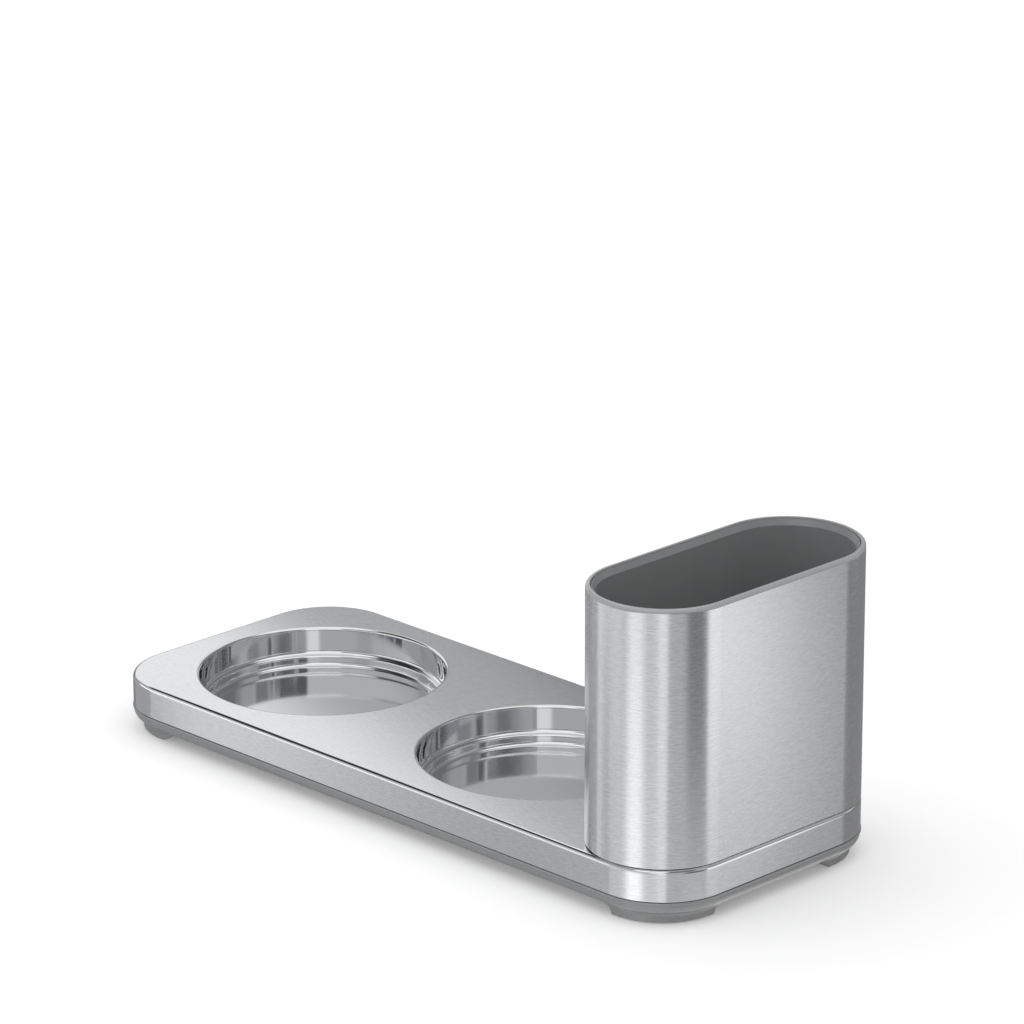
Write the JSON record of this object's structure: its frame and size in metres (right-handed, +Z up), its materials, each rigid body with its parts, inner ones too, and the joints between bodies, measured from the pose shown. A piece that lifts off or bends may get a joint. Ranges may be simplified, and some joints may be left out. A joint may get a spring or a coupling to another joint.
{
  "type": "soap pump caddy",
  "caption": "Low brushed-steel base with polished round wells for pump bottles and a tall stadium-shaped holder at one end, with a lift-out liner.",
  "frame": {"origin": "centre of the base in plan, on the surface that the pads stand on", "axes": "+X along the base from the wells to the holder, -Y towards the front, +Z up"},
  "size_m": [0.2654, 0.1068, 0.1058],
  "materials": {
    "deck_steel": "brushed along the length, polished at the edge",
    "sleeve_steel": "brushed",
    "cup_steel": "polished wall, satin floor",
    "tray_plastic": "matt",
    "rim_plastic": "matt",
    "liner_plastic": "matt",
    "pad_rubber": "matt",
    "foam": "closed-cell foam",
    "fixings": "plain"
  },
  "bodies": {
    "caddy": {"deck_cover": "deck_steel", "left_well_cup": "cup_steel", "right_well_cup": "cup_steel", "left_cup_seal": "foam", "right_cup_seal": "foam", "base_tray": "tray_plastic", "deck_posts": "fixings", "tray_screws": "fixings", "holder_sleeve": "sleeve_steel", "holder_seal": "foam", "holder_base": "tray_plastic", "holder_screws": "fixings", "holder_rim": "rim_plastic", "front_left_pad": "pad_rubber", "front_right_pad": "pad_rubber", "rear_left_pad": "pad_rubber", "rear_right_pad": "pad_rubber"},
    "liner": {"holder_liner": "liner_plastic"}
  },
  "joints": [
    {"name": "liner_lift", "type": "slide", "parent": "caddy", "child": "liner", "axis": [0, 0, 1], "range_m": [0, 0.08]}
  ]
}
